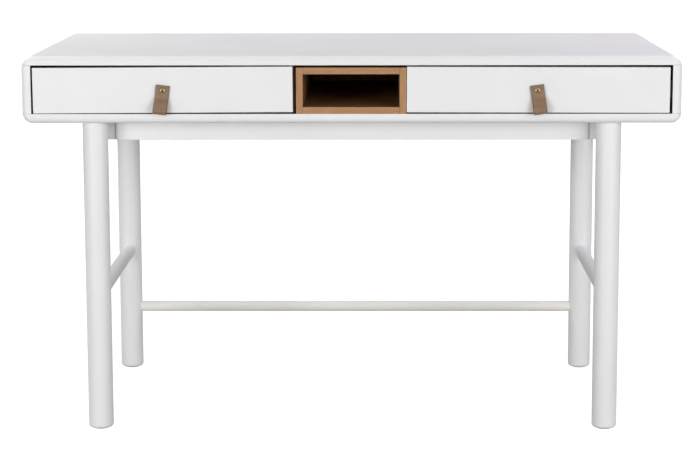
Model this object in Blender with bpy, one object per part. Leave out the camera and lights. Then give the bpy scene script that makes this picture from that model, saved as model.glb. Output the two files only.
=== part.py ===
"""Writing desk: a white lacquered case with two drawers and an open oak cubby, on a four-legged frame.

Metres, +Z up, +X to the sitter's right, -Y towards the sitter. The origin lies on the floor under the
middle of the whole desk, leather pulls included.
"""

from math import cos, pi, radians, sin

import bmesh
import bpy
from mathutils import Matrix, Vector

MM = 0.001
GAP = 0.3 * MM  # air left between pieces that touch on the real desk

# The whole desk
WIDTH = 1300 * MM
DEPTH = 600 * MM
HEIGHT = 760 * MM

# The case
TOP_BOARD = 18 * MM
BOTTOM_BOARD = 19 * MM
SIDE_PANEL = 19 * MM
OPENING = 96 * MM  # clear height between the boards
TOP_CORNER_R = 24 * MM
BOTTOM_CORNER_R = 20 * MM
FRONT_EDGE_R = 12 * MM
BACK_EDGE_R = 2 * MM
BACK_PANEL = 12 * MM
BACK_INSET = 2 * MM
DIVIDER = 18 * MM
DIVIDER_FACE_X = 112 * MM  # the divider's face towards the cubby
DIVIDER_SET_BACK = 20 * MM

# The oak cubby, a loose box between the dividers
CUBBY_WIDTH = 216.8 * MM
CUBBY_HEIGHT = 91 * MM
CUBBY_DEPTH = 540 * MM
CUBBY_WALL = 13 * MM
CUBBY_BACK = 8 * MM
CUBBY_X = -0.4 * MM  # it stands a touch left of the middle
CUBBY_EDGE = 0.5 * MM

# The drawers
FRONT_ENDS = {"left": (-627.5 * MM, -115.4 * MM), "right": (109.0 * MM, 625.9 * MM)}
FRONT_HEIGHT = 90 * MM
FRONT_BOARD = 18 * MM
FRONT_LIFT = 2.2 * MM  # gap under the drawer front
FRONT_EDGE = 0.8 * MM
DRAWER_WALL = 12 * MM
DRAWER_WALL_HEIGHT = 68 * MM
DRAWER_BOTTOM = 5 * MM
DRAWER_GROOVE = 3 * MM  # the bottom panel sits this far above the walls' lower edges
DRAWER_LENGTH = 450 * MM
DRAWER_LIFT = 12 * MM  # box bottom above the case floor
RUNNER_LENGTH = 440 * MM
RUNNER_SPACE = 13 * MM  # side room for one telescopic runner
RUNNER_MEMBER = 5.5 * MM
RUNNER_EDGE = 0.8 * MM
CASE_RUNNER_HEIGHT = 35 * MM
DRAWER_RUNNER_HEIGHT = 22 * MM

# The leather pulls and their brass screws
STRAP_WIDTH = 27 * MM
STRAP = 2 * MM
PULL_TOP = 10 * MM  # strap above the screw
PULL_DROP = 47.5 * MM  # strap below the screw
PULL_STACK_DROP = 11 * MM  # the two leaves lie together down to here
PULL_REACH = 17 * MM  # how far the loop stands off the drawer
PULL_TILT = {"left": 7.0, "right": -8.0}  # degrees about +Y, as the loops hang
SCREW_X = {"left": -371.5 * MM, "right": 365.6 * MM}
SCREW_Z = 693 * MM
SHANK_R = 2.0 * MM
HEAD_R = 5.8 * MM
HEAD_HEIGHT = 2.8 * MM
NUT_R = 6.0 * MM
NUT_HEIGHT = 4.0 * MM

# The frame under the case
LEG_R = 25 * MM
LEG_X = 511 * MM
LEG_SET_BACK = 41 * MM  # leg axis behind the case's face
LEG_END_R = 6.5 * MM
GLIDE_R = 16 * MM
GLIDE = 1.7 * MM
GLIDE_CHAMFER = 0.6 * MM
RAIL_HEIGHT = 42.5 * MM
RAIL = 22 * MM
LONG_RAIL_OFFSET = 37 * MM  # long rail's outer face in from the leg axis
LONG_RAIL_HALF = 477 * MM
LONG_RAIL_END_R = 6 * MM
BLOCK_LIFT = 0.5 * MM  # corner block's lower face above the rails' edges
BLOCK_INSET = 5 * MM
BLOCK_LENGTH = 44 * MM
STRETCHER_R = 14 * MM
STRETCHER_Z = 273 * MM
ROD_R = 11.5 * MM
ROD_Z = 140 * MM
BOLT_R = 4.0 * MM
BOLT_LENGTH = 56 * MM
BOLT_HEAD_R = 9.0 * MM
BOLT_HEAD = 3.5 * MM
BOLT_FLANGE = 1.2 * MM
BOLT_HEAD_TAPER = 2 * MM
BOLT_SPARE = 2 * MM  # depth of the leg's hole beyond the bolt

# Places that follow from the sizes
CASE_FRONT = -(DEPTH - PULL_REACH - GAP) / 2
CASE_BACK = CASE_FRONT + DEPTH
Z_TOP = HEIGHT
Z_ROOF = HEIGHT - TOP_BOARD
Z_FLOOR = Z_ROOF - OPENING
Z_UNDER = Z_FLOOR - BOTTOM_BOARD
INNER_X = WIDTH / 2 - SIDE_PANEL
LEG_Y = {"front": CASE_FRONT + LEG_SET_BACK, "back": CASE_BACK - LEG_SET_BACK}
SIDES = {"left": -1, "right": 1}
ENDS = {"front": 1, "back": -1}

FINISHES = {
    "white_lacquer": ((0.83, 0.83, 0.82), 0.35, 0.0),
    "oak": ((0.45, 0.25, 0.12), 0.55, 0.0),
    "drawer_ply": ((0.62, 0.48, 0.33), 0.60, 0.0),
    "leather": ((0.28, 0.18, 0.12), 0.65, 0.0),
    "brass": ((0.80, 0.60, 0.30), 0.30, 1.0),
    "runner_steel": ((0.55, 0.55, 0.56), 0.35, 1.0),
    "rod_enamel": ((0.70, 0.69, 0.66), 0.35, 0.0),
    "glide_nylon": ((0.75, 0.74, 0.71), 0.60, 0.0),
}


def clear_scene():
    for obj in list(bpy.data.objects):
        bpy.data.objects.remove(obj, do_unlink=True)


def finish_material(finish):
    material = bpy.data.materials.get(finish)
    if material:
        return material
    colour, roughness, metallic = FINISHES[finish]
    material = bpy.data.materials.new(finish)
    material.use_nodes = True
    shader = material.node_tree.nodes["Principled BSDF"]
    shader.inputs["Base Color"].default_value = (*colour, 1)
    shader.inputs["Roughness"].default_value = roughness
    shader.inputs["Metallic"].default_value = metallic
    return material


def add_piece(name, bm, finish, place=(0, 0, 0), smooth=None):
    """Makes a piece from a bmesh. Smooth is the angle, in degrees, below which edges are shaded smooth."""
    bmesh.ops.recalc_face_normals(bm, faces=bm.faces)
    mesh = bpy.data.meshes.new(name)
    bm.to_mesh(mesh)
    bm.free()
    mesh.materials.append(finish_material(finish))
    if smooth:
        mesh.shade_smooth()
        mesh.set_sharp_from_angle(angle=radians(smooth))
    obj = bpy.data.objects.new(name, mesh)
    obj.location = place
    bpy.context.collection.objects.link(obj)
    return obj


def box_between(low, high):
    """A box from its lowest to its highest corner."""
    bm = bmesh.new()
    low, high = Vector(low), Vector(high)
    size = high - low
    middle = Matrix.Translation((low + high) / 2)
    bmesh.ops.create_cube(bm, size=1, matrix=middle @ Matrix.Diagonal((*size, 1)))
    return bm


def add_board(name, low, high, finish, edge=0.0):
    """A flat board with its edges eased by the given radius."""
    low, high = Vector(low), Vector(high)
    middle = (low + high) / 2
    bm = box_between(low - middle, high - middle)
    if edge:
        bmesh.ops.bevel(
            bm, geom=bm.edges, offset=edge, segments=2, profile=0.5, affect="EDGES", clamp_overlap=True
        )
    return add_piece(name, bm, finish, middle)


def turned(profile, steps):
    """A body turned about Z from (radius, z) pairs. The first and last pair lie on the axis."""
    bm = bmesh.new()
    verts = [bm.verts.new((r, 0, z)) for r, z in profile]
    edges = [bm.edges.new(pair) for pair in zip(verts, verts[1:])]
    bmesh.ops.spin(
        bm, geom=verts + edges, cent=(0, 0, 0), axis=(0, 0, 1), angle=2 * pi, steps=steps, use_merge=True
    )
    bmesh.ops.remove_doubles(bm, verts=bm.verts, dist=1e-6)
    return bm


def cylinder(radius, length, steps):
    """A plain round bar along Z, from 0 to length."""
    return turned([(0, 0), (radius, 0), (radius, length), (0, length)], steps)


def cut(obj, bm, matrix, name):
    """Cuts obj with the shape in bm, placed by matrix."""
    cutter = add_piece(f"cutter_{name}", bm, "white_lacquer")
    cutter.matrix_world = matrix
    cutter.hide_render = True
    cutter.display_type = "WIRE"
    tool = obj.modifiers.new(name, "BOOLEAN")
    tool.operation = "DIFFERENCE"
    tool.solver = "EXACT"
    tool.object = cutter


def arc(centre, radius, start, end, steps):
    """Points on an arc in a plane, from one angle to another in degrees."""
    points = []
    for step in range(steps + 1):
        angle = radians(start + (end - start) * step / steps)
        points.append((centre[0] + radius * cos(angle), centre[1] + radius * sin(angle)))
    return points


def case_block():
    """The whole case as one block: a rounded outline in X and Z, run back along Y, its front rounded over."""
    half = WIDTH / 2
    top_r, low_r = TOP_CORNER_R, BOTTOM_CORNER_R
    outline = arc((half - top_r, Z_TOP - top_r), top_r, 0, 90, 6)
    outline += arc((-half + top_r, Z_TOP - top_r), top_r, 90, 180, 6)
    outline += arc((-half + low_r, Z_UNDER + low_r), low_r, 180, 270, 6)
    outline += arc((half - low_r, Z_UNDER + low_r), low_r, 270, 360, 6)
    bm = bmesh.new()
    front = bm.faces.new([bm.verts.new((x, CASE_FRONT, z)) for x, z in outline])
    back = bmesh.ops.extrude_face_region(bm, geom=[front])
    moved = [v for v in back["geom"] if isinstance(v, bmesh.types.BMVert)]
    bmesh.ops.translate(bm, verts=moved, vec=(0, DEPTH, 0))
    bmesh.ops.recalc_face_normals(bm, faces=bm.faces)
    for y, radius, steps in ((CASE_FRONT, FRONT_EDGE_R, 5), (CASE_BACK, BACK_EDGE_R, 2)):
        rim = [e for e in bm.edges if all(abs(v.co.y - y) < 1e-6 for v in e.verts)]
        bmesh.ops.bevel(bm, geom=rim, offset=radius, segments=steps, profile=0.5, affect="EDGES")
    return bm


def case_slice(name, cuts):
    """One board of the case, cut from the block by planes given as (point, normal towards what goes)."""
    bm = case_block()
    for point, normal in cuts:
        geometry = [*bm.verts, *bm.edges, *bm.faces]
        done = bmesh.ops.bisect_plane(
            bm, geom=geometry, plane_co=point, plane_no=normal, clear_outer=True, dist=1e-6
        )
        rim = [e for e in done["geom_cut"] if isinstance(e, bmesh.types.BMEdge)]
        bmesh.ops.edgeloop_fill(bm, edges=rim)
    bmesh.ops.dissolve_limit(bm, angle_limit=radians(0.05), verts=bm.verts, edges=bm.edges)
    return add_piece(name, bm, "white_lacquer", smooth=30)


def make_case():
    case_slice("top_board", [((0, 0, Z_ROOF), (0, 0, -1))])
    bottom = case_slice("bottom_board", [((0, 0, Z_FLOOR), (0, 0, 1))])
    for side, sign in SIDES.items():
        case_slice(
            f"side_panel_{side}",
            [
                ((0, 0, Z_ROOF - GAP), (0, 0, 1)),
                ((0, 0, Z_FLOOR + GAP), (0, 0, -1)),
                ((sign * INNER_X, 0, 0), (-sign, 0, 0)),
            ],
        )
        low = (DIVIDER_FACE_X, CASE_FRONT + DIVIDER_SET_BACK, Z_FLOOR + GAP)
        high = (DIVIDER_FACE_X + DIVIDER, CASE_BACK - BACK_INSET - BACK_PANEL - GAP, Z_ROOF - GAP)
        add_board(f"divider_{side}", *mirrored(low, high, sign), "oak")
    add_board(
        "back_panel",
        (-INNER_X + GAP, CASE_BACK - BACK_INSET - BACK_PANEL, Z_FLOOR + GAP),
        (INNER_X - GAP, CASE_BACK - BACK_INSET, Z_ROOF - GAP),
        "white_lacquer",
    )
    return bottom


def mirrored(low, high, sign):
    """The same box on the left side when sign is -1."""
    if sign > 0:
        return low, high
    return (-high[0], *low[1:]), (-low[0], *high[1:])


def make_cubby():
    """Five oak boards: the walls run full height, the floor, roof and back fit between them."""
    left = CUBBY_X - CUBBY_WIDTH / 2
    right = CUBBY_X + CUBBY_WIDTH / 2
    low = Z_FLOOR + GAP
    top = low + CUBBY_HEIGHT
    front, back = CASE_FRONT, CASE_FRONT + CUBBY_DEPTH
    inner_left, inner_right = left + CUBBY_WALL + GAP, right - CUBBY_WALL - GAP
    shelf_back = back - CUBBY_BACK - GAP
    boards = {
        "wall_left": ((left, front, low), (left + CUBBY_WALL, back, top)),
        "wall_right": ((right - CUBBY_WALL, front, low), (right, back, top)),
        "floor": ((inner_left, front, low), (inner_right, shelf_back, low + CUBBY_WALL)),
        "roof": ((inner_left, front, top - CUBBY_WALL), (inner_right, shelf_back, top)),
        "back": ((inner_left, back - CUBBY_BACK, low), (inner_right, back, top)),
    }
    for part, (a, b) in boards.items():
        add_board(f"cubby_{part}", a, b, "oak", CUBBY_EDGE)


def make_legs(bottom):
    """Round legs with rounded feet, each bolted up to the bottom board from inside the case."""
    foot = GLIDE + GAP
    profile = [(0, 0)]
    profile += arc((LEG_R - LEG_END_R, LEG_END_R), LEG_END_R, -90, 0, 4)
    profile += [(LEG_R, Z_UNDER - GAP - foot), (0, Z_UNDER - GAP - foot)]
    hole_depth = BOLT_LENGTH - BOTTOM_BOARD + BOLT_SPARE
    glide = [(0, 0), (GLIDE_R - GLIDE_CHAMFER, 0), (GLIDE_R, GLIDE_CHAMFER), (GLIDE_R, GLIDE), (0, GLIDE)]
    for end, y in LEG_Y.items():
        for side, sign in SIDES.items():
            x = sign * LEG_X
            leg = add_piece(f"leg_{end}_{side}", turned(profile, 48), "white_lacquer", (x, y, foot), 40)
            hole = Matrix.Translation((x, y, Z_UNDER - hole_depth))
            drill = cylinder(BOLT_R + GAP, hole_depth + BOTTOM_BOARD, 16)
            cut(leg, drill, hole, f"hole_leg_{end}_{side}")
            board_hole = Matrix.Translation((x, y, Z_UNDER - BOTTOM_BOARD))
            drill = cylinder(BOLT_R + GAP, 3 * BOTTOM_BOARD, 16)
            cut(bottom, drill, board_hole, f"hole_board_{end}_{side}")
            add_piece(f"foot_glide_{end}_{side}", turned(glide, 32), "glide_nylon", (x, y, 0), 30)
            make_leg_bolt(f"leg_bolt_{end}_{side}", x, y)


def make_leg_bolt(name, x, y):
    """A flanged bolt: its head bears on the case floor and its shank runs down into the leg."""
    head = Z_FLOOR + GAP
    profile = [
        (0, -BOLT_LENGTH),
        (BOLT_R, -BOLT_LENGTH),
        (BOLT_R, 0),
        (BOLT_HEAD_R, 0),
        (BOLT_HEAD_R, BOLT_FLANGE),
        (BOLT_HEAD_R - BOLT_HEAD_TAPER, BOLT_HEAD),
        (0, BOLT_HEAD),
    ]
    add_piece(name, turned(profile, 16), "runner_steel", (x, y, head), 30)


def leg_cutter(obj, side_sign, ends):
    """Hollows the ends of a rail or rod so that it meets the round legs all the way."""
    for end in ends:
        place = Matrix.Translation((side_sign * LEG_X, LEG_Y[end], 0))
        cut(obj, cylinder(LEG_R + GAP, Z_UNDER, 48), place, f"cope_{obj.name}_{end}")


def make_rails():
    low, high = Z_UNDER - RAIL_HEIGHT, Z_UNDER - GAP
    for side, sign in SIDES.items():
        a = (LEG_X - RAIL / 2, LEG_Y["front"], low)
        b = (LEG_X + RAIL / 2, LEG_Y["back"], high)
        rail = add_board(f"side_rail_{side}", *mirrored(a, b, sign), "white_lacquer")
        leg_cutter(rail, sign, ENDS)
    for end, inward in ENDS.items():
        outer = LEG_Y[end] + inward * LONG_RAIL_OFFSET
        inner = outer + inward * RAIL
        bm = box_between(
            (-LONG_RAIL_HALF, min(outer, inner), low), (LONG_RAIL_HALF, max(outer, inner), high)
        )
        uprights = [e for e in bm.edges if abs(e.verts[0].co.z - e.verts[1].co.z) > RAIL / 2]
        rounded = [e for e in uprights if abs(e.verts[0].co.y - outer) < 1e-6]
        bmesh.ops.bevel(
            bm, geom=rounded, offset=LONG_RAIL_END_R, segments=4, profile=0.5, affect="EDGES"
        )
        add_piece(f"{end}_rail", bm, "white_lacquer", smooth=40)
        for side, sign in SIDES.items():
            face = outer + inward * BLOCK_INSET
            far = face + inward * BLOCK_LENGTH
            a = (LONG_RAIL_HALF + GAP, min(face, far), low + BLOCK_LIFT)
            b = (LEG_X - RAIL / 2 - GAP, max(face, far), high)
            add_board(f"corner_block_{end}_{side}", *mirrored(a, b, sign), "white_lacquer")


def make_stretchers():
    along_y = Matrix.Rotation(-pi / 2, 4, "X")
    length = LEG_Y["back"] - LEG_Y["front"]
    for side, sign in SIDES.items():
        bm = cylinder(STRETCHER_R, length, 32)
        bmesh.ops.transform(bm, matrix=along_y, verts=bm.verts)
        place = (sign * LEG_X, LEG_Y["front"], STRETCHER_Z)
        bar = add_piece(f"side_stretcher_{side}", bm, "white_lacquer", place, 40)
        leg_cutter(bar, sign, ENDS)
    bm = cylinder(ROD_R, 2 * LEG_X, 32)
    bmesh.ops.transform(bm, matrix=Matrix.Rotation(pi / 2, 4, "Y"), verts=bm.verts)
    rod = add_piece("foot_rod", bm, "rod_enamel", (-LEG_X, LEG_Y["back"], ROD_Z), 40)
    for sign in SIDES.values():
        leg_cutter(rod, sign, ["back"])


def make_drawer(side, sign):
    """A flat front over a plain box on telescopic runners. The empty at its screw is the drawer."""
    screw_x = SCREW_X[side]
    drawer = bpy.data.objects.new(f"drawer_{side}", None)
    drawer.location = (screw_x, CASE_FRONT, Z_FLOOR)
    bpy.context.collection.objects.link(drawer)
    pieces = []
    left_end, right_end = FRONT_ENDS[side]
    low = Z_FLOOR + FRONT_LIFT
    front = add_board(
        f"drawer_{side}_front",
        (left_end, CASE_FRONT, low),
        (right_end, CASE_FRONT + FRONT_BOARD, low + FRONT_HEIGHT),
        "white_lacquer",
        FRONT_EDGE,
    )
    pieces.append(front)
    drill = cylinder(SHANK_R + GAP, 3 * FRONT_BOARD, 16)
    cut(front, drill, screw_axis(screw_x, CASE_FRONT - FRONT_BOARD), f"hole_front_{side}")

    inner = DIVIDER_FACE_X + DIVIDER + RUNNER_SPACE
    outer = INNER_X - RUNNER_SPACE
    near = CASE_FRONT + FRONT_BOARD + GAP
    far = near + DRAWER_LENGTH
    base = Z_FLOOR + DRAWER_LIFT
    top = base + DRAWER_WALL_HEIGHT
    floor_top = base + DRAWER_GROOVE + DRAWER_BOTTOM
    floor_low = floor_top - DRAWER_BOTTOM
    floor_far = far - DRAWER_WALL - GAP
    x0 = inner + DRAWER_WALL + GAP
    x1 = outer - DRAWER_WALL - GAP
    boxes = {
        "wall_inner": ((inner, near, base), (inner + DRAWER_WALL, far, top)),
        "wall_outer": ((outer - DRAWER_WALL, near, base), (outer, far, top)),
        "back": ((x0, far - DRAWER_WALL, base), (x1, far, top)),
        "bottom": ((x0, near, floor_low), (x1, floor_far, floor_top)),
    }
    for part, (a, b) in boxes.items():
        pieces.append(add_board(f"drawer_{side}_{part}", *mirrored(a, b, sign), "drawer_ply"))

    runner_z = (base + top) / 2
    for part, case_face, inward in (("inner", inner - RUNNER_SPACE, 1), ("outer", INNER_X, -1)):
        drawer_face = case_face + inward * RUNNER_SPACE
        for owner, face, way, height in (
            ("case", case_face, inward, CASE_RUNNER_HEIGHT),
            ("drawer", drawer_face, -inward, DRAWER_RUNNER_HEIGHT),
        ):
            span = sorted((face + way * GAP, face + way * RUNNER_MEMBER))
            a = (span[0], near, runner_z - height / 2)
            b = (span[1], near + RUNNER_LENGTH, runner_z + height / 2)
            name = f"{owner}_{side}_runner_{part}"
            runner = add_board(name, *mirrored(a, b, sign), "runner_steel", RUNNER_EDGE)
            if owner == "drawer":
                pieces.append(runner)

    pieces += make_pull_screw(side, screw_x)
    for piece in pieces:
        piece.parent = drawer
        piece.matrix_parent_inverse = Matrix.Translation(drawer.location).inverted()
    make_pull(side, screw_x, drawer)


def screw_axis(x, y):
    """Lays a shape made along Z down along Y, on the screw's axis, starting at y."""
    return Matrix.Translation((x, y, SCREW_Z)) @ Matrix.Rotation(-pi / 2, 4, "X")


def make_pull_screw(side, x):
    """A pan-head brass screw from the front, through strap and drawer front, into a round nut inside."""
    strap_face = 2 * STRAP + 2 * GAP
    end = FRONT_BOARD + GAP + NUT_HEIGHT
    profile = [(0, -strap_face - HEAD_HEIGHT)]
    profile += [
        (HEAD_R * sin(radians(a)), -strap_face - HEAD_HEIGHT * cos(radians(a))) for a in (30, 55, 75, 90)
    ]
    profile += [(SHANK_R, -strap_face), (SHANK_R, end), (0, end)]
    along_y = Matrix.Rotation(-pi / 2, 4, "X")
    screw = turned(profile, 24)
    bmesh.ops.transform(screw, matrix=along_y, verts=screw.verts)
    place = (x, CASE_FRONT, SCREW_Z)
    screw = add_piece(f"drawer_{side}_pull_screw", screw, "brass", place, 35)

    inner_r = SHANK_R + GAP
    ring = bmesh.new()
    z0, z1 = FRONT_BOARD + GAP, FRONT_BOARD + GAP + NUT_HEIGHT
    corners = [ring.verts.new((r, 0, z)) for r, z in ((inner_r, z0), (NUT_R, z0), (NUT_R, z1), (inner_r, z1))]
    edges = [ring.edges.new((corners[i], corners[(i + 1) % 4])) for i in range(4)]
    bmesh.ops.spin(
        ring, geom=corners + edges, cent=(0, 0, 0), axis=(0, 0, 1), angle=2 * pi, steps=24, use_merge=True
    )
    bmesh.ops.remove_doubles(ring, verts=ring.verts, dist=1e-6)
    bmesh.ops.transform(ring, matrix=along_y, verts=ring.verts)
    nut = add_piece(f"drawer_{side}_pull_nut", ring, "brass", place, 35)
    return [screw, nut]


def pull_section():
    """Matching outer and inner points of the folded strap, seen from the side, as (out from the drawer, z).

    They run from the back leaf's stack down, round the fold and up the bulging front leaf to the stack.
    """
    fold_r = (PULL_REACH - STRAP) / 2
    fold_z = -PULL_DROP + fold_r + STRAP / 2
    stack_z = -PULL_STACK_DROP
    spine = []
    for step in range(5):
        spine.append((STRAP / 2, stack_z + (fold_z - stack_z) * step / 5))
    centre = (STRAP / 2 + fold_r, fold_z)
    spine += arc(centre, fold_r, 180, 360, 10)
    front_out = STRAP / 2 + 2 * fold_r
    stack_out = 1.5 * STRAP
    steps = 9
    for step in range(1, steps + 1):
        t = step / steps
        ease = t * t * (3 - 2 * t)
        spine.append((front_out + (stack_out - front_out) * ease, fold_z + (stack_z - fold_z) * t))
    outer, inner = [], []
    for i, point in enumerate(spine):
        before = Vector(spine[max(i - 1, 0)])
        after = Vector(spine[min(i + 1, len(spine) - 1)])
        along = (after - before).normalized()
        side = Vector((along.y, -along.x)) * STRAP / 2
        outer.append(Vector(point) + side)
        inner.append(Vector(point) - side)
    return [tuple(p) for p in outer], [tuple(p) for p in inner]


def make_pull(side, x, drawer):
    """A strap folded to a loop. It turns about the screw, which passes through both leaves."""
    outer, inner = pull_section()
    bm = bmesh.new()

    def vert(point):
        return bm.verts.new((-STRAP_WIDTH / 2, -point[0], point[1]))

    outer_verts = [vert(p) for p in outer]
    inner_verts = [vert(p) for p in inner[1:-1]]
    apex = vert((STRAP, -PULL_STACK_DROP))
    inner_verts = [apex, *inner_verts, apex]
    for i in range(len(outer_verts) - 1):
        ring = [outer_verts[i], outer_verts[i + 1], inner_verts[i + 1], inner_verts[i]]
        bm.faces.new(list(dict.fromkeys(ring)))
    top = [vert((2 * STRAP, PULL_TOP)), vert((0, PULL_TOP))]
    bm.faces.new([outer_verts[-1], *top, outer_verts[0], apex])
    grown = bmesh.ops.extrude_face_region(bm, geom=bm.faces[:])
    moved = [v for v in grown["geom"] if isinstance(v, bmesh.types.BMVert)]
    bmesh.ops.translate(bm, verts=moved, vec=(STRAP_WIDTH, 0, 0))
    place = (x, CASE_FRONT - GAP, SCREW_Z)
    pull = add_piece(f"pull_{side}_strap", bm, "leather", place, 30)
    pull.rotation_euler = (0, radians(PULL_TILT[side]), 0)
    pull.parent = drawer
    pull.matrix_parent_inverse = Matrix.Translation(drawer.location).inverted()
    drill = cylinder(SHANK_R + GAP, 2 * FRONT_BOARD, 16)
    cut(pull, drill, screw_axis(x, CASE_FRONT - FRONT_BOARD), f"hole_pull_{side}")


def main():
    clear_scene()
    bottom = make_case()
    make_cubby()
    make_legs(bottom)
    make_rails()
    make_stretchers()
    for side, sign in SIDES.items():
        make_drawer(side, sign)


main()
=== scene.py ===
from math import cos, pi, radians, sin

import bmesh
import bpy
from mathutils import Matrix, Vector


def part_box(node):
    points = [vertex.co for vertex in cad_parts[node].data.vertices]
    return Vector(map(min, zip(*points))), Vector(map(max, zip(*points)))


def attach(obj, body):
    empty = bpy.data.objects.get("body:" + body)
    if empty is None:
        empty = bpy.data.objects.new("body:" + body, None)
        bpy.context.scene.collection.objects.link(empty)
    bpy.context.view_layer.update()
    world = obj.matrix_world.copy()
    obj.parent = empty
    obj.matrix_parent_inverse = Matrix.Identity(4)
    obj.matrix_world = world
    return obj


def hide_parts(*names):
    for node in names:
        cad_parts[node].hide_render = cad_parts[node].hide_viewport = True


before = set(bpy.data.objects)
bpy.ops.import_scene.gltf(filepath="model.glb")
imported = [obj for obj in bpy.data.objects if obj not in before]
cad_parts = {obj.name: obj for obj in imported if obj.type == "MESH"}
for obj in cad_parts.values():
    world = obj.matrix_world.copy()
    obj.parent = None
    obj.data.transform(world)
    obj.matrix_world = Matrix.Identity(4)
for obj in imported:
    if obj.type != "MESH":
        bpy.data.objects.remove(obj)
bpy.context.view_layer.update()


# Studio: a pale floor and soft lamps, low in front so that light reaches under the case, and above the back
# corners to lift the top. A white sweep that only the camera sees stands in for the lit backdrop.
LAMPS = {  # place, what it points at, side of the square, watts, colour
    "low_left_softbox": ((-1.9, -3.0, 0.9), (0, 0, 0.55), 1.4, 42.5, "#ffffff"),
    "low_right_softbox": ((1.9, -3.0, 0.9), (0, 0, 0.55), 1.4, 24, "#ffffff"),
    "far_right_softbox": ((2.8, -2.8, 1.3), (0, 0, 0.45), 2.0, 26, "#ffffff"),
    "left_rim_lamp": ((-1.5, 0.5, 2.1), (-0.5, 0, 0.76), 1.0, 19, "#ffffff"),
    "right_rim_lamp": ((1.5, 0.5, 2.1), (0.5, 0, 0.76), 1.0, 16, "#f7f1ff"),
}
ROOM_LIGHT = 0.365
SWEEP_RADIUS = 40
MM = 0.001

scene = bpy.context.scene
scene.view_settings.view_transform = "Standard"
scene.cycles.use_denoising = True


def tint(code):
    """A linear colour from an sRGB hex code."""
    parts = [int(code[i : i + 2], 16) / 255 for i in (1, 3, 5)]
    return (*[p / 12.92 if p <= 0.04045 else ((p + 0.055) / 1.055) ** 2.4 for p in parts], 1)


def new_material(name):
    """A material, with its node tree and its Principled shader."""
    material = bpy.data.materials.new(name)
    material.use_nodes = True
    return material, material.node_tree, material.node_tree.nodes["Principled BSDF"]


def fill_sockets(tree, node, sockets):
    """Gives each named socket its plain value, or a link from another node's output."""
    for name, value in sockets.items():
        if isinstance(value, bpy.types.NodeSocket):
            tree.links.new(value, node.inputs[name])
        else:
            node.inputs[name].default_value = value


scene.world = bpy.data.worlds.new("soft room")
scene.world.use_nodes = True
room = scene.world.node_tree
fill_sockets(room, room.nodes["Background"], {"Color": tint("#ffffff"), "Strength": ROOM_LIGHT})

for name, (place, target, size, watts, colour) in LAMPS.items():
    lamp = bpy.data.lights.new(name, "AREA")
    lamp.shape = "SQUARE"
    lamp.size = size
    lamp.energy = watts
    lamp.color = tint(colour)[:3]
    fitting = bpy.data.objects.new(name, lamp)
    fitting.location = place
    fitting.rotation_euler = (Vector(place) - Vector(target)).to_track_quat("Z", "Y").to_euler()
    fitting.visible_camera = False
    scene.collection.objects.link(fitting)


def staged(name, bm, colour, glow):
    """A studio surface, which is no part of the desk."""
    mesh = bpy.data.meshes.new(name)
    bm.to_mesh(mesh)
    bm.free()
    paint, tree, shader = new_material(f"{name} paint")
    look = {"Base Color": tint(colour), "Roughness": 1.0}
    look |= {"Emission Color": tint("#ffffff"), "Emission Strength": glow}
    fill_sockets(tree, shader, look)
    mesh.materials.append(paint)
    surface = bpy.data.objects.new(name, mesh)
    scene.collection.objects.link(surface)
    return surface


bm = bmesh.new()
bmesh.ops.create_circle(bm, cap_ends=True, radius=SWEEP_RADIUS, segments=96)
floor = staged("studio_floor", bm, "#b2b2b2", 0.0)
floor.visible_camera = False

bm = bmesh.new()
bmesh.ops.create_uvsphere(bm, u_segments=64, v_segments=32, radius=SWEEP_RADIUS)
lower = [v for v in bm.verts if v.co.z < -1 * MM]
bmesh.ops.delete(bm, geom=lower, context="VERTS")
bmesh.ops.holes_fill(bm, edges=bm.edges)
bmesh.ops.reverse_faces(bm, faces=bm.faces)
sweep = staged("white_sweep", bm, "#ffffff", 1.0)
sweep.visible_diffuse = False
sweep.visible_glossy = False
sweep.visible_transmission = False
sweep.visible_shadow = False

camera_data = bpy.data.cameras.new("camera")
camera_data.lens = 102.7
camera_data.shift_x = -0.0193
camera_data.shift_y = -0.085
camera_data.clip_end = 200
camera = bpy.data.objects.new("camera", camera_data)
camera.location = (0.056, -4.197, 1.100)
camera.rotation_euler = (radians(90 - 8.34), radians(0.09), radians(0.46))
scene.collection.objects.link(camera)
scene.camera = camera


# Case: four MDF boards joined at rounded corners and rounded over along the front, sprayed as one outside
# with white satin lacquer; the faces inside are dark brown as painted shade. The joints show as hairlines.
# A flat back is let in between.
TOP_CORNER = 24 * MM
BOTTOM_CORNER = 20 * MM
CORNER_STEPS = 14
FRONT_ROUND = 12 * MM
BACK_ROUND = 2 * MM
SEAM_EASE = 0.2 * MM
BACK_EASE = 0.6 * MM
LACQUER_CLOUD = 143 * MM
LACQUER_PEEL = 2.08 * MM
MDF_FIBRE = 1.11 * MM  # a bundle of fibres, since single ones are too fine to show
SAME_PLACE = 0.001 * MM
ON_PLANE = 0.01 * MM


def add_node(tree, kind, sockets, stops=(), **settings):
    """Adds a node with its settings, sockets and, for a colour ramp, its stops as (position, colour code)."""
    node = tree.nodes.new(kind)
    for name, value in settings.items():
        setattr(node, name, value)
    for i, (position, code) in enumerate(stops):
        node.color_ramp.elements[i].position = position
        node.color_ramp.elements[i].color = tint(code)
    fill_sockets(tree, node, sockets)
    return node


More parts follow.
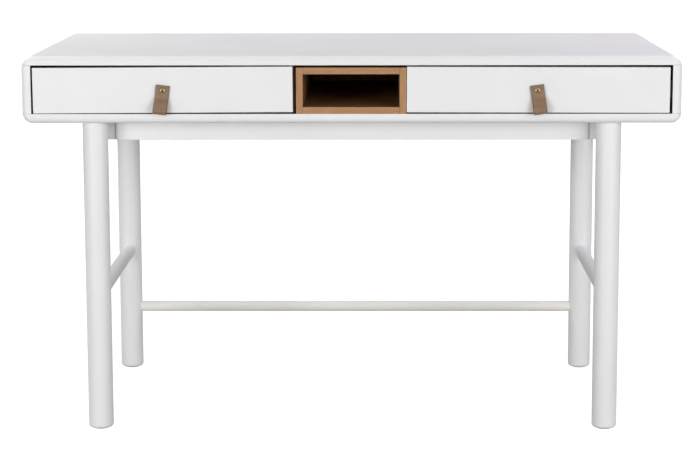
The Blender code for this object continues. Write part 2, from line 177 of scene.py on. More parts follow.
def sprayed_lacquer(name, dark, light, low_rough, high_rough):
    """Satin sprayed lacquer: fine orange peel, and a very slight cloud of gloss and tone."""
    material, tree, shader = new_material(name)
    place = add_node(tree, "ShaderNodeTexCoord", {}).outputs["Object"]
    pattern = {"Vector": place, "Scale": 1 / LACQUER_CLOUD, "Detail": 3.0}
    cloud = add_node(tree, "ShaderNodeTexNoise", pattern).outputs["Fac"]
    pattern = {"Vector": place, "Scale": 1 / LACQUER_PEEL, "Detail": 2.0}
    peel = add_node(tree, "ShaderNodeTexNoise", pattern).outputs["Fac"]
    tone = add_node(tree, "ShaderNodeValToRGB", {"Fac": cloud}, [(0.35, dark), (0.65, light)])
    gloss = add_node(tree, "ShaderNodeMapRange", {"Value": cloud, "To Min": low_rough, "To Max": high_rough})
    relief = add_node(tree, "ShaderNodeBump", {"Height": peel, "Strength": 0.05, "Distance": 0.1 * MM})
    look = {"Base Color": tone.outputs[0], "Roughness": gloss.outputs[0], "Normal": relief.outputs[0]}
    fill_sockets(tree, shader, look)
    return material


def painted_shade_board(name, dark, light):
    """Dark brown MDF as painted shade inside the case: matt and speckled by its short fibres."""
    material, tree, shader = new_material(name)
    place = add_node(tree, "ShaderNodeTexCoord", {}).outputs["Object"]
    pattern = {"Vector": place, "Scale": 1 / MDF_FIBRE, "Detail": 3.0}
    fibre = add_node(tree, "ShaderNodeTexNoise", pattern).outputs["Fac"]
    tone = add_node(tree, "ShaderNodeValToRGB", {"Fac": fibre}, [(0.35, dark), (0.65, light)])
    gloss = add_node(tree, "ShaderNodeMapRange", {"Value": fibre, "To Min": 0.75, "To Max": 0.9})
    relief = add_node(tree, "ShaderNodeBump", {"Height": fibre, "Strength": 0.3, "Distance": 0.2 * MM})
    look = {"Base Color": tone.outputs[0], "Roughness": gloss.outputs[0], "Normal": relief.outputs[0]}
    fill_sockets(tree, shader, look)
    return material


def add_piece(name, bm, materials, body, nodes, angle=35):
    """Makes a finished piece at the origin, riding on its body in place of its CAD nodes."""
    mesh = bpy.data.meshes.new(name)
    bm.to_mesh(mesh)
    bm.free()
    for material in materials:
        mesh.materials.append(material)
    mesh.shade_smooth()
    mesh.set_sharp_from_angle(angle=radians(angle))
    piece = bpy.data.objects.new(name, mesh)
    scene.collection.objects.link(piece)
    weight = piece.modifiers.new("flat faces stay flat", "WEIGHTED_NORMAL")
    weight.keep_sharp = True
    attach(piece, body)
    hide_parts(*nodes)


def arc(centre, radius, start, end, steps):
    """Points on an arc from one angle to another, in degrees."""
    turns = [radians(start + (end - start) * i / steps) for i in range(steps + 1)]
    return [(centre[0] + radius * cos(t), centre[1] + radius * sin(t)) for t in turns]


def drawn_out(bm, section, way):
    """Runs a flat section out along a straight way, into a closed solid."""
    grown = bmesh.ops.extrude_face_region(bm, geom=section)
    moved = [v for v in grown["geom"] if isinstance(v, bmesh.types.BMVert)]
    bmesh.ops.translate(bm, verts=moved, vec=way)
    bmesh.ops.recalc_face_normals(bm, faces=bm.faces)


def rounded(bm, edges, radius, steps):
    """Rounds the edges over, in faces that keep their neighbours' material."""
    bmesh.ops.bevel(bm, geom=edges, offset=radius, segments=steps, profile=0.5, material=-1, affect="EDGES")


def case_block(low, high):
    """The whole case as one block: rounded outline, run back, then rounded over in front."""
    outline = arc((high.x - TOP_CORNER, high.z - TOP_CORNER), TOP_CORNER, 0, 90, CORNER_STEPS)
    outline += arc((low.x + TOP_CORNER, high.z - TOP_CORNER), TOP_CORNER, 90, 180, CORNER_STEPS)
    outline += arc((low.x + BOTTOM_CORNER, low.z + BOTTOM_CORNER), BOTTOM_CORNER, 180, 270, CORNER_STEPS)
    outline += arc((high.x - BOTTOM_CORNER, low.z + BOTTOM_CORNER), BOTTOM_CORNER, 270, 360, CORNER_STEPS)
    bm = bmesh.new()
    front = bm.faces.new([bm.verts.new((x, low.y, z)) for x, z in outline])
    drawn_out(bm, [front], (0, high.y - low.y, 0))
    for y, radius, steps in ((low.y, FRONT_ROUND, 10), (high.y, BACK_ROUND, 4)):
        rim = [e for e in bm.edges if all(abs(v.co.y - y) < SAME_PLACE for v in e.verts)]
        rounded(bm, rim, radius, steps)
    return bm


def cut_faces(bm, cuts):
    """The faces that lie in one of the cutting planes."""
    found = []
    for point, normal in cuts:
        on, square = Vector(point), Vector(normal)
        found += [f for f in bm.faces if all(abs((v.co - on).dot(square)) < ON_PLANE for v in f.verts)]
    return found


def sliced(bm, cuts):
    """Cuts the block by planes, given as (point, normal), and eases each cut's rim; the cut faces, inside the
    case, take the second material as painted shade.
    """
    for point, normal in cuts:
        everything = [*bm.verts, *bm.edges, *bm.faces]
        done = bmesh.ops.bisect_plane(
            bm, geom=everything, plane_co=point, plane_no=normal, clear_outer=True, dist=SAME_PLACE
        )
        rim = [e for e in done["geom_cut"] if isinstance(e, bmesh.types.BMEdge)]
        bmesh.ops.edgeloop_fill(bm, edges=rim)
    rims = dict.fromkeys(e for f in cut_faces(bm, cuts) for e in f.edges)
    rounded(bm, list(rims), SEAM_EASE, 2)
    # The cut faces inside the case take the dark brown of painted shade.
    for face in cut_faces(bm, cuts):
        face.material_index = 1
    bmesh.ops.recalc_face_normals(bm, faces=bm.faces)
    return bm


case_lacquer = sprayed_lacquer("white satin lacquer on MDF", "#ececec", "#efefef", 0.42, 0.52)
# Painted shade: the faces inside the case are dark brown, so that the gaps round the drawers look dark.
mdf_in_painted_shade = painted_shade_board("dark brown MDF as painted shade", "#3d2b20", "#503a2b")
top_low, top_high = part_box("top_board")
bottom_low, bottom_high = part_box("bottom_board")
left_low, left_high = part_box("side_panel_left")
right_low, right_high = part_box("side_panel_right")
case_low = Vector((left_low.x, left_low.y, bottom_low.z))
case_high = Vector((right_high.x, left_high.y, top_high.z))
upper_seam = ((0, 0, left_high.z), (0, 0, 1))
lower_seam = ((0, 0, left_low.z), (0, 0, -1))
case_cuts = {
    "top_board": [((0, 0, top_low.z), (0, 0, -1))],
    "bottom_board": [((0, 0, bottom_high.z), (0, 0, 1))],
    "side_panel_left": [upper_seam, lower_seam, ((left_high.x, 0, 0), (1, 0, 0))],
    "side_panel_right": [upper_seam, lower_seam, ((right_low.x, 0, 0), (-1, 0, 0))],
}
for node, cuts in case_cuts.items():
    board = sliced(case_block(case_low, case_high), cuts)
    add_piece(f"{node}_lacquered", board, [case_lacquer, mdf_in_painted_shade], "desk", [node])


def square_board(node):
    """A board the size of its CAD node, with sharp edges."""
    low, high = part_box(node)
    bm = bmesh.new()
    place = Matrix.Translation((low + high) / 2) @ Matrix.Diagonal((*(high - low), 1))
    bmesh.ops.create_cube(bm, size=1, matrix=place)
    return bm


def eased_board(node, edge, steps=3):
    """A board the size of its CAD node, with its edges rounded."""
    bm = square_board(node)
    rounded(bm, bm.edges[:], edge, steps)
    bmesh.ops.recalc_face_normals(bm, faces=bm.faces)
    return bm


back = eased_board("back_panel", BACK_EASE)
add_piece("back_panel_lacquered", back, [case_lacquer], "desk", ["back_panel"])


# Dividers and cubby: oiled oak. The cubby is a loose box of 13 mm boards with full-height walls, coloured
# darker inside than on its front edges as painted shade. The dividers stand behind the fronts, as brown
# slivers in the gaps, all in the darker oak of painted shade.
BOARD_EASE = 0.2 * MM
OAK_FIBRE = 1.61 * MM  # twice the real width, so that the streaks show
OAK_RING = 9.1 * MM
OAK_PORE = 0.67 * MM  # twice the real width, so that the pores show
OAK_GRAIN = 0.045  # width of a streak as a share of its length
FRONTWARD = -0.3  # normals past this on Y are the front face and the outer part of its rounding


def oiled_oak(name, grain_axis, dark, light):
    """Oak with its grain along one axis: fine fibre streaks, broader year rings and open pores."""
    material, tree, shader = new_material(name)
    place = add_node(tree, "ShaderNodeTexCoord", {}).outputs["Object"]
    stretch = [1.0, 1.0, 1.0]
    stretch[grain_axis] = OAK_GRAIN
    along = add_node(tree, "ShaderNodeMapping", {"Vector": place, "Scale": stretch}).outputs["Vector"]
    pattern = {"Vector": along, "Scale": 1 / OAK_FIBRE, "Detail": 4.0}
    fibre = add_node(tree, "ShaderNodeTexNoise", pattern).outputs["Fac"]
    pattern = {"Vector": along, "Scale": 1 / OAK_RING, "Detail": 3.0}
    ring = add_node(tree, "ShaderNodeTexNoise", pattern).outputs["Fac"]
    pattern = {"Vector": along, "Scale": 1 / OAK_PORE, "Detail": 1.0}
    cell = add_node(tree, "ShaderNodeTexNoise", pattern).outputs["Fac"]
    figure = add_node(tree, "ShaderNodeMix", {"Factor": 0.3, "A": fibre, "B": ring}).outputs["Result"]
    tone = add_node(tree, "ShaderNodeValToRGB", {"Fac": figure}, [(0.36, dark), (0.62, light)])
    depth = {"Value": cell, "From Min": 0.28, "From Max": 0.36, "To Min": 0.72, "To Max": 1.0}
    pore = add_node(tree, "ShaderNodeMapRange", depth).outputs["Result"]
    layers = {"Fac": 1.0, "Color1": tone.outputs["Color"], "Color2": pore}
    shade = add_node(tree, "ShaderNodeMixRGB", layers, blend_type="MULTIPLY").outputs["Color"]
    gloss = add_node(tree, "ShaderNodeMapRange", {"Value": ring, "To Min": 0.50, "To Max": 0.68})
    relief = add_node(tree, "ShaderNodeBump", {"Height": shade, "Strength": 0.25, "Distance": 0.2 * MM})
    look = {"Base Color": shade, "Roughness": gloss.outputs[0], "Normal": relief.outputs[0]}
    fill_sockets(tree, shader, look)
    return material


def edged_board(node):
    """An oak board whose front edge takes the second material; its other faces keep the first, the darker oak
    of painted shade.
    """
    bm = eased_board(node, BOARD_EASE)
    for face in bm.faces:
        if face.normal.y < FRONTWARD:
            face.material_index = 1
    return bm


# Painted shade: the first oak of each pair is darker, for the shade inside the cubby; the second is for the
# front edges.
lying_oak = [
    oiled_oak("oak in painted shade, grain along Y", 1, "#7f5a34", "#946f43"),
    oiled_oak("oiled oak edge, grain along X", 0, "#a3774d", "#ba8c62"),
]
standing_oak = [
    oiled_oak("oak wall in painted shade, grain along Y", 1, "#7f5a34", "#946f43"),
    oiled_oak("oiled oak edge, grain along Z", 2, "#a3774d", "#ba8c62"),
]
for part in ("floor", "roof", "back"):
    node = f"cubby_{part}"
    add_piece(f"{node}_oak", edged_board(node), lying_oak, "desk", [node])
for side in ("left", "right"):
    node = f"cubby_wall_{side}"
    add_piece(f"{node}_oak", edged_board(node), standing_oak, "desk", [node])
    # The dividers take only the darker oak, as painted shade in the gaps.
    node = f"divider_{side}"
    add_piece(f"{node}_oak", eased_board(node, BOARD_EASE), standing_oak[:1], "desk", [node])


# Legs: solid beech dowel turned to 50 mm, rounded at the foot and sprayed white like the case. Each is pulled
# up to the bottom board by a flanged hexagon bolt, and stands on a nylon glide.
FOOT_ROUND = 6.5 * MM
GLIDE_ROUND = 0.8 * MM
BOLT_HEAD = 3.5 * MM
BOLT_FLANGE = 1.4 * MM
BOLT_HEX_R = 6.5 * MM
BOLT_HEX_SUNK = 0.2 * MM  # how far the hexagon runs into the flange
BOLT_SHANK_R = 4 * MM
BOLT_POINT = 0.8 * MM
MOULD_SPARK = 1.11 * MM  # the real 0.2 mm texture is too fine to show
ZINC_SPANGLE = 1.43 * MM  # coarser than the real crystals, so that it shows


def turned(profile, steps):
    """A body turned about Z from (radius, z) points that start and end on the axis."""
    bm = bmesh.new()
    verts = [bm.verts.new((r, 0, z)) for r, z in profile]
    edges = [bm.edges.new(pair) for pair in zip(verts, verts[1:])]
    bmesh.ops.spin(
        bm, geom=verts + edges, cent=(0, 0, 0), axis=(0, 0, 1), angle=2 * pi, steps=steps, use_merge=True
    )
    bmesh.ops.remove_doubles(bm, verts=bm.verts, dist=SAME_PLACE)
    bmesh.ops.recalc_face_normals(bm, faces=bm.faces)
    return bm


beech_lacquer = sprayed_lacquer("white satin lacquer on beech", "#ececec", "#efefef", 0.40, 0.50)


def moulded_nylon(name, colour):
    """Matt moulded nylon with the fine spark texture of its mould."""
    material, tree, shader = new_material(name)
    place = add_node(tree, "ShaderNodeTexCoord", {}).outputs["Object"]
    pattern = {"Vector": place, "Scale": 1 / MOULD_SPARK, "Detail": 2.0}
    spark = add_node(tree, "ShaderNodeTexNoise", pattern).outputs["Fac"]
    gloss = add_node(tree, "ShaderNodeMapRange", {"Value": spark, "To Min": 0.5, "To Max": 0.7})
    relief = add_node(tree, "ShaderNodeBump", {"Height": spark, "Strength": 0.2, "Distance": 0.1 * MM})
    look = {"Base Color": tint(colour), "Roughness": gloss.outputs[0], "Normal": relief.outputs[0]}
    fill_sockets(tree, shader, look)
    return material


def zinc_steel(name, colour):
    """Zinc-plated steel, with a fine crystalline mottle that changes its gloss."""
    material, tree, shader = new_material(name)
    place = add_node(tree, "ShaderNodeTexCoord", {}).outputs["Object"]
    pattern = {"Vector": place, "Scale": 1 / ZINC_SPANGLE}
    spangle = add_node(tree, "ShaderNodeTexVoronoi", pattern).outputs["Color"]
    gloss = add_node(tree, "ShaderNodeMapRange", {"Value": spangle, "To Min": 0.28, "To Max": 0.45})
    look = {"Base Color": tint(colour), "Metallic": 1.0, "Roughness": gloss.outputs[0]}
    fill_sockets(tree, shader, look)
    return material


nylon = moulded_nylon("moulded nylon", "#dedcd6")
plated = zinc_steel("zinc-plated steel", "#c3c4c6")
for end in ("front", "back"):
    for side in ("left", "right"):
        name = f"{end}_{side}"
        low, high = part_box(f"leg_{name}")
        axis = (low + high) / 2
        radius = (high.x - low.x) / 2
        profile = [(0, low.z)] + arc((radius - FOOT_ROUND, low.z + FOOT_ROUND), FOOT_ROUND, -90, 0, 10)
        profile += [(radius, high.z), (0, high.z)]
        leg = turned(profile, 96)
        bmesh.ops.translate(leg, verts=leg.verts, vec=(axis.x, axis.y, 0))
        add_piece(f"leg_{name}_turned", leg, [beech_lacquer], "desk", [f"leg_{name}"])

        low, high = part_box(f"foot_glide_{name}")
        radius = (high.x - low.x) / 2
        profile = [(0, low.z)]
        profile += arc((radius - GLIDE_ROUND, low.z + GLIDE_ROUND), GLIDE_ROUND, -90, 0, 4)
        profile += [(radius, high.z), (0, high.z)]
        glide = turned(profile, 48)
        bmesh.ops.translate(glide, verts=glide.verts, vec=(axis.x, axis.y, 0))
        add_piece(f"glide_{name}_moulded", glide, [nylon], "desk", [f"foot_glide_{name}"])

        low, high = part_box(f"leg_bolt_{name}")
        radius = (high.x - low.x) / 2
        seat = high.z - BOLT_HEAD
        profile = [
            (0, low.z),
            (BOLT_SHANK_R - BOLT_POINT, low.z),
            (BOLT_SHANK_R, low.z + BOLT_POINT),
            (BOLT_SHANK_R, seat),
            (radius, seat),
            (radius, seat + BOLT_FLANGE / 2),
            (radius - BOLT_FLANGE, seat + BOLT_FLANGE),
            (0, seat + BOLT_FLANGE),
        ]
        bolt = turned(profile, 48)
        depth = BOLT_HEAD - BOLT_FLANGE + BOLT_HEX_SUNK
        place = Matrix.Translation((0, 0, high.z - depth / 2))
        bmesh.ops.create_cone(
            bolt, cap_ends=True, segments=6, radius1=BOLT_HEX_R, radius2=BOLT_HEX_R, depth=depth, matrix=place
        )
        bmesh.ops.translate(bolt, verts=bolt.verts, vec=(axis.x, axis.y, 0))
        add_piece(f"leg_bolt_{name}_plated", bolt, [plated], "desk", [f"leg_bolt_{name}"])


# Frame: four rails of solid beech tenoned into the legs under the case, with a block in each corner. Ends run
# a few millimetres into the round legs, as tenons do.
RAIL_EASE = 1.0 * MM
BLOCK_EASE = 0.4 * MM
RAIL_END_ROUND = 6 * MM
SHARP_EDGE = radians(60)

for side in ("left", "right"):
    node = f"side_rail_{side}"
    rail = eased_board(node, RAIL_EASE)
    add_piece(f"{node}_beech", rail, [beech_lacquer], "desk", [node])
for end, inward in (("front", 1), ("back", -1)):
    node = f"{end}_rail"
    low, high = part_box(node)
    rail = square_board(node)
    outer = low.y if inward > 0 else high.y
    uprights = [e for e in rail.edges if abs(e.verts[0].co.z - e.verts[1].co.z) > RAIL_END_ROUND]
    uprights = [e for e in uprights if abs(e.verts[0].co.y - outer) < SAME_PLACE]
    rounded(rail, uprights, RAIL_END_ROUND, 8)
    rounded(rail, [e for e in rail.edges if e.calc_face_angle(0) > SHARP_EDGE], RAIL_EASE, 3)
    bmesh.ops.recalc_face_normals(rail, faces=rail.faces)
    add_piece(f"{node}_beech", rail, [beech_lacquer], "desk", [node])
    for side in ("left", "right"):
        node = f"corner_block_{end}_{side}"
        block = eased_board(node, BLOCK_EASE)
        add_piece(f"{node}_beech", block, [beech_lacquer], "desk", [node])


# Stretchers and foot rod: a 28 mm beech dowel joins the legs of each side, and a thinner steel rod, powder
# coated a warmer white, joins the two back legs near the floor.
BAR_EDGE = 0.4 * MM


def bar(low, high, axis_index, steps):
    """A round bar that fills the box from low to high along one axis."""
    length = high[axis_index] - low[axis_index]
    across = (axis_index + 1) % 3
    radius = (high[across] - low[across]) / 2
    profile = [(0, 0), (radius - BAR_EDGE, 0), (radius, BAR_EDGE)]
    profile += [(r, length - z) for r, z in reversed(profile)]
    bm = turned(profile, steps)
    turn = Matrix.Rotation(pi / 2, 4, "Y") if axis_index == 0 else Matrix.Rotation(-pi / 2, 4, "X")
    start = (low + high) / 2
    start[axis_index] = low[axis_index]
    bmesh.ops.transform(bm, matrix=Matrix.Translation(start) @ turn, verts=bm.verts)
    return bm


rod_coat = sprayed_lacquer("warm white powder coat on steel", "#f0ede6", "#f4f1ea", 0.40, 0.50)
for side in ("left", "right"):
    node = f"side_stretcher_{side}"
    dowel = bar(*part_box(node), 1, 64)
    add_piece(f"{node}_dowel", dowel, [beech_lacquer], "desk", [node])
rod = bar(*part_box("foot_rod"), 0, 48)
add_piece("foot_rod_coated", rod, [rod_coat], "desk", ["foot_rod"])


# Drawers: a lacquered MDF front on a box of birch plywood, hung on telescopic steel runners. The plywood
# shows its veneers on the cut edges and a rotary-cut face elsewhere. The fronts hang a little out of level.
FRONT_EASE = 1.0 * MM
FRONT_HANG = {"left": -0.28, "right": 0.15}  # degrees about Y: the outer ends hang low
PLY_EASE = 0.6 * MM
VENEER_PAIR = 2.8 * MM  # one pale veneer and one dark
BIRCH_FIGURE = 12.5 * MM
BIRCH_GRAIN = 0.12  # width of a wave of the figure as a share of its length
BIRCH_SPECK = 1.11 * MM  # coarser than real end grain, so that it shows
RUNNER_STEEL = 1.2 * MM
RUNNER_LIP = 3.5 * MM
RUNNER_EASE = 0.25 * MM
RIVET_R = 3.2 * MM
RIVET_HEIGHT = 1.4 * MM
RIVET_SPOTS = (0.06, 0.36, 0.66, 0.94)  # along the runner, as shares of its length
SQUARE_ON = 0.9  # normals past this face straight along an axis


def birch_face(name, grain_axis):
    """Clear-lacquered birch: pale, with a soft wavy figure along the grain."""
    material, tree, shader = new_material(name)
    place = add_node(tree, "ShaderNodeTexCoord", {}).outputs["Object"]
    stretch = [1.0, 1.0, 1.0]
    stretch[grain_axis] = BIRCH_GRAIN
    along = add_node(tree, "ShaderNodeMapping", {"Vector": place, "Scale": stretch}).outputs["Vector"]
    pattern = {"Vector": along, "Scale": 1 / BIRCH_FIGURE, "Detail": 6.0, "Distortion": 0.6}
    figure = add_node(tree, "ShaderNodeTexNoise", pattern).outputs["Fac"]
    tone = add_node(tree, "ShaderNodeValToRGB", {"Fac": figure}, [(0.3, "#c9a97f"), (0.7, "#e0c59d")])
    gloss = add_node(tree, "ShaderNodeMapRange", {"Value": figure, "To Min": 0.42, "To Max": 0.58})
    relief = add_node(tree, "ShaderNodeBump", {"Height": figure, "Strength": 0.1, "Distance": 0.2 * MM})
    look = {"Base Color": tone.outputs[0], "Roughness": gloss.outputs[0], "Normal": relief.outputs[0]}
    fill_sockets(tree, shader, look)
    return material


def birch_edge(name, thickness_axis):
    """The cut edge of birch plywood: thin veneers, each second one darker end grain."""
    material, tree, shader = new_material(name)
    place = add_node(tree, "ShaderNodeTexCoord", {}).outputs["Object"]
    across = add_node(tree, "ShaderNodeSeparateXYZ", {0: place}).outputs[thickness_axis]
    turns = add_node(tree, "ShaderNodeMath", {0: across, 1: 2 * pi / VENEER_PAIR}, operation="MULTIPLY")
    wave = add_node(tree, "ShaderNodeMath", {0: turns.outputs[0]}, operation="SINE").outputs[0]
    pattern = {"Vector": place, "Scale": 1 / BIRCH_SPECK, "Detail": 2.0}
    speck = add_node(tree, "ShaderNodeTexNoise", pattern).outputs["Fac"]
    tone = add_node(tree, "ShaderNodeValToRGB", {"Fac": wave}, [(0.0, "#a98558"), (0.4, "#d8bb90")])
    gloss = add_node(tree, "ShaderNodeMapRange", {"Value": speck, "To Min": 0.6, "To Max": 0.75})
    relief = add_node(tree, "ShaderNodeBump", {"Height": speck, "Strength": 0.3, "Distance": 0.2 * MM})
    look = {"Base Color": tone.outputs[0], "Roughness": gloss.outputs[0], "Normal": relief.outputs[0]}
    fill_sockets(tree, shader, look)
    return material


def plywood_board(node, thickness_axis):
    """A plywood board whose cut edges take the second material."""
    bm = eased_board(node, PLY_EASE)
    for face in bm.faces:
        face.material_index = 0 if abs(face.normal[thickness_axis]) > SQUARE_ON else 1
    return bm


def runner_channel(node, way):
    """A rolled steel channel, open along X towards way (1 or -1), with domed rivets along its web."""
    low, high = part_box(node)
    web, mouth = (low.x, high.x) if way > 0 else (high.x, low.x)
    steel = way * RUNNER_STEEL
    floor, lip = low.z + RUNNER_STEEL, low.z + RUNNER_LIP
    section = [(web, low.z), (mouth, low.z), (mouth, lip), (mouth - steel, lip)]
    section += [(mouth - steel, floor), (web + steel, floor)]
    section += [(x, low.z + high.z - z) for x, z in reversed(section)]
    bm = bmesh.new()
    end = bm.faces.new([bm.verts.new((x, low.y, z)) for x, z in section])
    drawn_out(bm, [end], (0, high.y - low.y, 0))
    rounded(bm, bm.edges[:], RUNNER_EASE, 2)
    turn = Matrix.Rotation(way * pi / 2, 4, "Y")
    depth = 2 * RIVET_HEIGHT
    for spot in RIVET_SPOTS:
        y = low.y + (high.y - low.y) * spot
        place = Matrix.Translation((web + steel, y, (low.z + high.z) / 2)) @ turn
        rivet = bmesh.ops.create_cone(
            bm, cap_ends=True, segments=24, radius1=RIVET_R, radius2=RIVET_R / 2, depth=depth, matrix=place
        )
        skin = dict.fromkeys(f for v in rivet["verts"] for f in v.link_faces)
        bmesh.ops.recalc_face_normals(bm, faces=list(skin))
    return bm


walls_ply = [
    birch_face("birch plywood, grain along Y", 1),
    birch_edge("birch plywood edge, layers along X", 0),
]
backs_ply = [
    birch_face("birch plywood, grain along X", 0),
    birch_edge("birch plywood edge, layers along Y", 1),
]
floor_ply = [
    birch_face("birch plywood floor, grain along X", 0),
    birch_edge("birch plywood edge, layers along Z", 2),
]
box_parts = {
    "wall_inner": (0, walls_ply),
    "wall_outer": (0, walls_ply),
    "back": (1, backs_ply),
    "bottom": (2, floor_ply),
}
for side, sign in (("left", -1), ("right", 1)):
    body = f"drawer_{side}"
    node = f"{body}_front"
    front = eased_board(node, FRONT_EASE, 4)
    low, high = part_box(f"{body}_pull_screw")
    middle = Matrix.Translation((low + high) / 2)
    hang = middle @ Matrix.Rotation(radians(FRONT_HANG[side]), 4, "Y") @ middle.inverted()
    bmesh.ops.transform(front, matrix=hang, verts=front.verts)
    add_piece(f"{node}_lacquered", front, [case_lacquer], body, [node])
    for part, (axis_index, ply) in box_parts.items():
        node = f"{body}_{part}"
        add_piece(f"{node}_ply", plywood_board(node, axis_index), ply, body, [node])
    for place, way in (("inner", sign), ("outer", -sign)):
        node = f"case_{side}_runner_{place}"
        add_piece(f"{node}_steel", runner_channel(node, way), [plated], "desk", [node])
        node = f"{body}_runner_{place}"
        add_piece(f"{node}_steel", runner_channel(node, -way), [plated], body, [node])


# Pull screws: pan-head machine screws of antique brass with a cross recess. Each goes through the strap's two
# ends and the drawer front, and is held behind by a round nut with a knurled rim.
SCREW_HEAD = 2.8 * MM
SHANK_R = 2 * MM
RECESS_ARM = 0.75 * MM
RECESS_REACH = 3.4 * MM
RECESS_DEPTH = 1.5 * MM
HEAD_RIM = 0.2 * MM  # height of the head's rim that the recess leaves alone
SCREW_TURN = {"left": 43, "right": 40}  # degrees the cross is turned
NUT_ROUND = 0.5 * MM
NUT_CHAMFER = 0.8 * MM
KNURL = 0.02  # depth of the knurling, as a share of the nut's radius
BRASS_MOTTLE = 1.67 * MM  # coarser than real tarnish spots, so that it shows
TARNISH_CRUST = 0.5 * MM  # coarser than the real crust, so that it shows


def worn_brass(name, dark, light):
    """Antique brass: finely mottled between brown and rubbed pale."""
    material, tree, shader = new_material(name)
    place = add_node(tree, "ShaderNodeTexCoord", {}).outputs["Object"]
    pattern = {"Vector": place, "Scale": 1 / BRASS_MOTTLE, "Detail": 4.0}
    mottle = add_node(tree, "ShaderNodeTexNoise", pattern).outputs["Fac"]
    tone = add_node(tree, "ShaderNodeValToRGB", {"Fac": mottle}, [(0.35, dark), (0.65, light)])
    gloss = add_node(tree, "ShaderNodeMapRange", {"Value": mottle, "To Min": 0.35, "To Max": 0.5})
    look = {"Base Color": tone.outputs[0], "Metallic": 1.0, "Roughness": gloss.outputs[0]}
    fill_sockets(tree, shader, look)
    return material


def dark_recess(name, colour):
    """The dull tarnish that gathers in the cross of a screw."""
    material, tree, shader = new_material(name)
    place = add_node(tree, "ShaderNodeTexCoord", {}).outputs["Object"]
    pattern = {"Vector": place, "Scale": 1 / TARNISH_CRUST, "Detail": 2.0}
    crust = add_node(tree, "ShaderNodeTexNoise", pattern).outputs["Fac"]
    gloss = add_node(tree, "ShaderNodeMapRange", {"Value": crust, "To Min": 0.6, "To Max": 0.8})
    fill_sockets(tree, shader, {"Base Color": tint(colour), "Roughness": gloss.outputs[0]})
    return material


def along_screw(bm, axis, start):
    """Lays a shape turned about Z down along the screw, from start on Y."""
    place = Matrix.Translation((axis.x, start, axis.z)) @ Matrix.Rotation(-pi / 2, 4, "X")
    bmesh.ops.transform(bm, matrix=place, verts=bm.verts)
    bmesh.ops.recalc_face_normals(bm, faces=bm.faces)


antique = worn_brass("antique brass", "#9a855d", "#dccda2")
tarnish = dark_recess("tarnished recess", "#2a2119")
for side in ("left", "right"):
    node = f"drawer_{side}_pull_screw"
    low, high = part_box(node)
    axis = (low + high) / 2
    radius = (high.x - low.x) / 2
    length = high.y - low.y
    profile = [(radius * sin(radians(t)), SCREW_HEAD * (1 - cos(radians(t)))) for t in range(0, 88, 3)]
    profile += [(radius, SCREW_HEAD), (SHANK_R, SCREW_HEAD), (SHANK_R, length), (0, length)]
    screw = turned(profile, 96)
    turn = Matrix.Rotation(radians(SCREW_TURN[side]), 4, "Z")
    sunk = set()
    for vert in screw.verts:
        flat = turn @ vert.co
        arm, reach = sorted((abs(flat.x), abs(flat.y)))
        if vert.co.z < SCREW_HEAD - HEAD_RIM and arm < RECESS_ARM and reach < RECESS_REACH:
            sunk.add(vert)
    for vert in sunk:
        vert.co.z += RECESS_DEPTH
    for face in screw.faces:
        face.material_index = 1 if sunk.intersection(face.verts) else 0
    along_screw(screw, axis, low.y)
    add_piece(f"{node}_brass", screw, [antique, tarnish], f"drawer_{side}", [node], 50)

    node = f"drawer_{side}_pull_nut"
    low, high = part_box(node)
    radius = (high.x - low.x) / 2
    thick = high.y - low.y
    profile = [(0, 0), (radius - NUT_ROUND, 0), (radius, NUT_ROUND), (radius, thick - NUT_CHAMFER)]
    profile += [(radius - NUT_CHAMFER, thick), (0, thick)]
    nut = turned(profile, 64)
    knurl = [v for v in nut.verts if abs(v.co.xy.length - radius) < SAME_PLACE]
    for i, vert in enumerate(knurl):
        vert.co.xy *= 1 - KNURL * (i % 2)
    along_screw(nut, axis, low.y)
    add_piece(f"{node}_brass", nut, [antique], f"drawer_{side}", [node])


# Pulls: a strap of 2 mm vegetable-tanned leather folded to a loop, its two ends together under the screw. The
# cut edges are burnished darker, and the fold stands off the drawer for a finger.
STRAP_WIDTH = 27 * MM
STRAP = 2 * MM
STRAP_ABOVE = 10 * MM
STRAP_BELOW = 47.5 * MM
STACK_BELOW = 11 * MM
STRAP_GAP = 0.4 * MM  # air behind and before the strap
EDGE_ROUND = 0.55 * MM
BACK_STEPS = 12
FOLD_STEPS = 24
FRONT_STEPS = 24
EDGEWARD = 0.2  # normals past this are the cut edge and its rounding
TILT = {"left": 7.0, "right": -8.0}  # degrees about Y, as the loops hang
HIDE_STREAK = 1.54 * MM  # bundles of fibres, since single ones are too fine to show
HIDE_GRAIN = 0.06  # width of a streak as a share of its length
HIDE_CLOUD = 11.1 * MM
HIDE_PEBBLE = 0.83 * MM


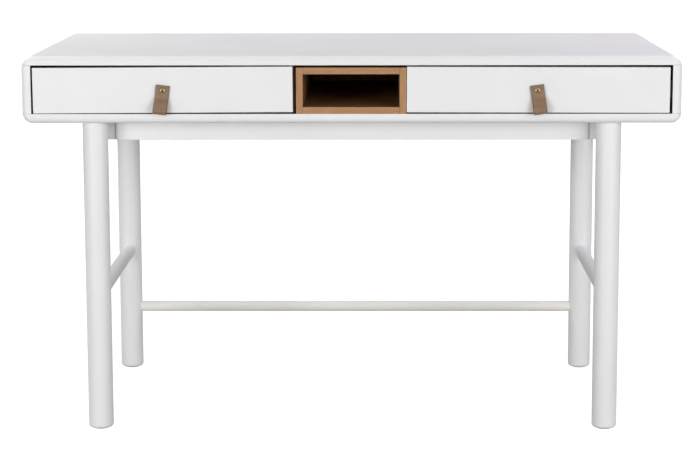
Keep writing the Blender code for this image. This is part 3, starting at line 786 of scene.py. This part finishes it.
def tanned_leather(name, dark, light, rough):
    """Matt tanned leather: pebbled grain, soft clouds of tone, and fibre streaks down the strap."""
    material, tree, shader = new_material(name)
    place = add_node(tree, "ShaderNodeTexCoord", {}).outputs["Object"]
    stretch = (1.0, 1.0, HIDE_GRAIN)
    down = add_node(tree, "ShaderNodeMapping", {"Vector": place, "Scale": stretch}).outputs["Vector"]
    pattern = {"Vector": down, "Scale": 1 / HIDE_STREAK, "Detail": 3.0}
    streak = add_node(tree, "ShaderNodeTexNoise", pattern).outputs["Fac"]
    pattern = {"Vector": place, "Scale": 1 / HIDE_CLOUD, "Detail": 5.0}
    cloud = add_node(tree, "ShaderNodeTexNoise", pattern).outputs["Fac"]
    pattern = {"Vector": place, "Scale": 1 / HIDE_PEBBLE}
    pebble = add_node(tree, "ShaderNodeTexVoronoi", pattern, feature="DISTANCE_TO_EDGE").outputs["Distance"]
    mixed = add_node(tree, "ShaderNodeMix", {"Factor": 0.45, "A": cloud, "B": streak}).outputs["Result"]
    tone = add_node(tree, "ShaderNodeValToRGB", {"Fac": mixed}, [(0.36, dark), (0.64, light)])
    span = {"Value": cloud, "To Min": rough - 0.08, "To Max": rough + 0.08}
    gloss = add_node(tree, "ShaderNodeMapRange", span)
    grain = add_node(tree, "ShaderNodeBump", {"Height": pebble, "Strength": 0.35, "Distance": 0.2 * MM})
    fold = {"Height": cloud, "Strength": 0.3, "Distance": 0.5 * MM, "Normal": grain.outputs[0]}
    crease = add_node(tree, "ShaderNodeBump", fold)
    look = {"Base Color": tone.outputs[0], "Roughness": gloss.outputs[0], "Normal": crease.outputs[0]}
    fill_sockets(tree, shader, look)
    return material


def strap_spine(reach):
    """The strap's middle line from the side, as (out from the drawer, z), from back leaf to front leaf."""
    fold_r = (reach - STRAP) / 2
    fold_z = -STRAP_BELOW + fold_r + STRAP / 2
    drop = fold_z + STACK_BELOW
    back_leaf = [(STRAP / 2, drop * i / BACK_STEPS - STACK_BELOW) for i in range(BACK_STEPS)]
    fold = arc((STRAP / 2 + fold_r, fold_z), fold_r, 180, 360, FOLD_STEPS)
    front_leaf = []
    for i in range(1, FRONT_STEPS + 1):
        t = i / FRONT_STEPS
        ease = t * t * (3 - 2 * t)
        out = STRAP / 2 + 2 * fold_r + (STRAP - 2 * fold_r) * ease
        front_leaf.append((out, fold_z - drop * t))
    return back_leaf + fold + front_leaf


def folded_strap(reach):
    """The strap with its screw at the origin: its section, run across to its width, with rounded edges."""
    spine = strap_spine(reach)
    outer, inner = [], []
    for i, point in enumerate(spine):
        along = Vector(spine[min(i + 1, len(spine) - 1)]) - Vector(spine[max(i - 1, 0)])
        across = Vector((along.y, -along.x)).normalized() * STRAP / 2
        outer.append(Vector(point) + across)
        inner.append(Vector(point) - across)
    bm = bmesh.new()
    x = -STRAP_WIDTH / 2
    outer_verts = [bm.verts.new((x, -p.x, p.y)) for p in outer]
    apex = bm.verts.new((x, -STRAP, -STACK_BELOW))
    inner_verts = [apex, *[bm.verts.new((x, -p.x, p.y)) for p in inner[1:-1]], apex]
    for i in range(len(outer_verts) - 1):
        ring = [outer_verts[i], outer_verts[i + 1], inner_verts[i + 1], inner_verts[i]]
        bm.faces.new(list(dict.fromkeys(ring)))
    top = [bm.verts.new((x, -out, STRAP_ABOVE)) for out in (2 * STRAP, STRAP, 0)]
    bm.faces.new([outer_verts[-1], top[0], top[1], apex])
    bm.faces.new([apex, top[1], top[2], outer_verts[0]])
    drawn_out(bm, bm.faces[:], (STRAP_WIDTH, 0, 0))
    rounded(bm, [e for e in bm.edges if e.calc_face_angle(0) > SHARP_EDGE], EDGE_ROUND, 3)
    for face in bm.faces:
        upper_end = face.normal.z > EDGEWARD and face.calc_center_median().z > 0
        face.material_index = 1 if abs(face.normal.x) > EDGEWARD or upper_end else 0
    return bm


grain_side = tanned_leather("tanned leather, grain side", "#82644b", "#957960", 0.62)
cut_edge = tanned_leather("tanned leather, burnished edge", "#54402d", "#6f563f", 0.5)
for side in ("left", "right"):
    node = f"pull_{side}_strap"
    strap_low, strap_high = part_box(node)
    front_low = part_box(f"drawer_{side}_front")[0]
    strap = folded_strap(front_low.y - strap_low.y - STRAP_GAP)
    low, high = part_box(f"drawer_{side}_pull_screw")
    pin = Vector(((low.x + high.x) / 2, strap_high.y, (low.z + high.z) / 2))
    turn = Matrix.Rotation(radians(TILT[side]), 4, "Y")
    bmesh.ops.transform(strap, matrix=Matrix.Translation(pin) @ turn, verts=strap.verts)
    add_piece(f"{node}_leather", strap, [grain_side, cut_edge], f"pull_{side}", [node], 50)
